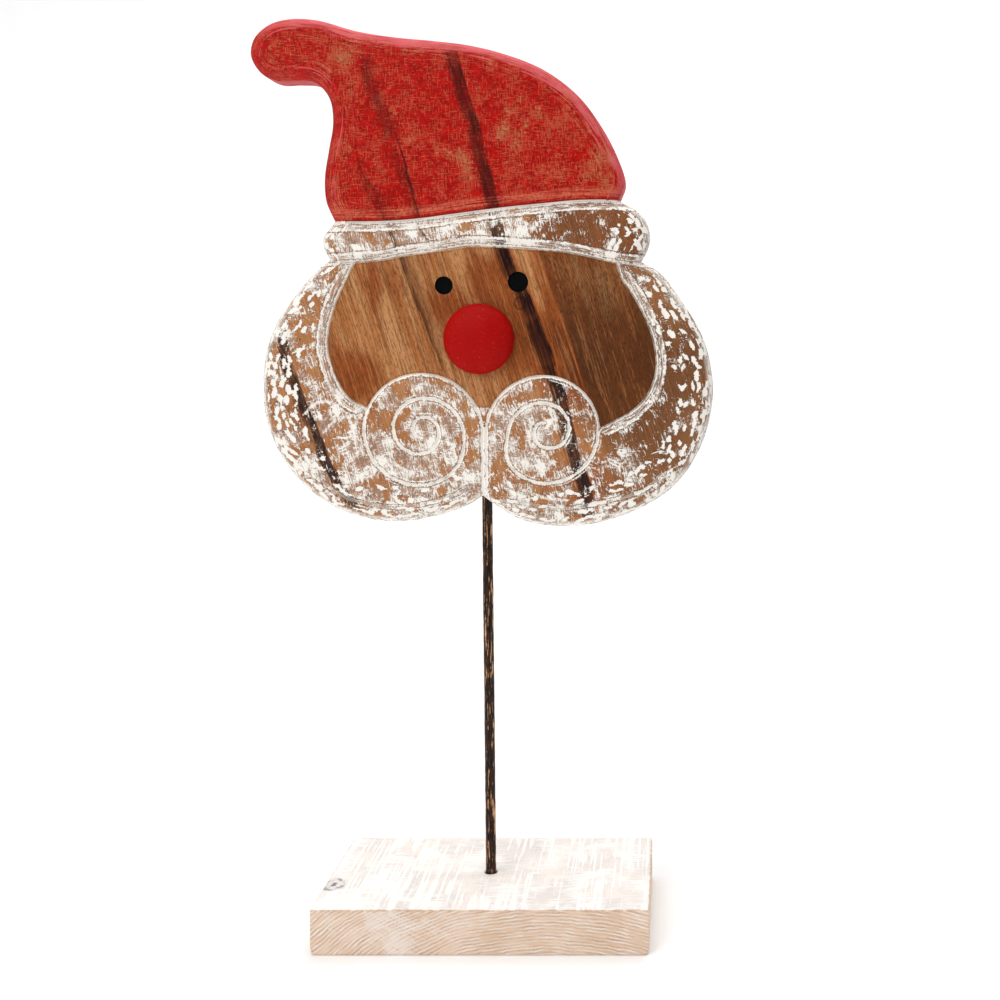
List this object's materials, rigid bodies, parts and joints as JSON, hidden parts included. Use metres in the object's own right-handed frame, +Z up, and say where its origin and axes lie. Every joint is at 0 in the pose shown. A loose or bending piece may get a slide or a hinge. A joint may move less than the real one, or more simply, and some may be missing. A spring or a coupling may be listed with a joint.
{
  "type": "carved wooden santa face on a rod stand",
  "caption": "Flat carved wooden Santa face with painted hat, whitewashed beard and button nose, held by a thin metal rod on a whitewashed wooden base block.",
  "frame": {"origin": "centre of the base block's underside, on the surface that the ornament stands on", "axes": "+X to the right as seen from the front, +Y away from the viewer (the face looks along -Y), +Z up"},
  "size_m": [0.1986, 0.08, 0.3967],
  "materials": {
    "whitewashed_base_wood": "pale softwood under a thin, brushed, matte white wash",
    "antique_bronze_metal": "dark antique bronze paint, rubbed through to copper-coloured flecks",
    "painted_carved_wood": "carved brown hardwood: worn red paint on the hat, worn white paint on brim, beard and curls, clear satin varnish on the face",
    "red_painted_wood": "smooth, even, matte red paint"
  },
  "bodies": {
    "root": {"base": "whitewashed_base_wood", "rod": "antique_bronze_metal", "head": "painted_carved_wood", "nose": "red_painted_wood"}
  },
  "joints": []
}
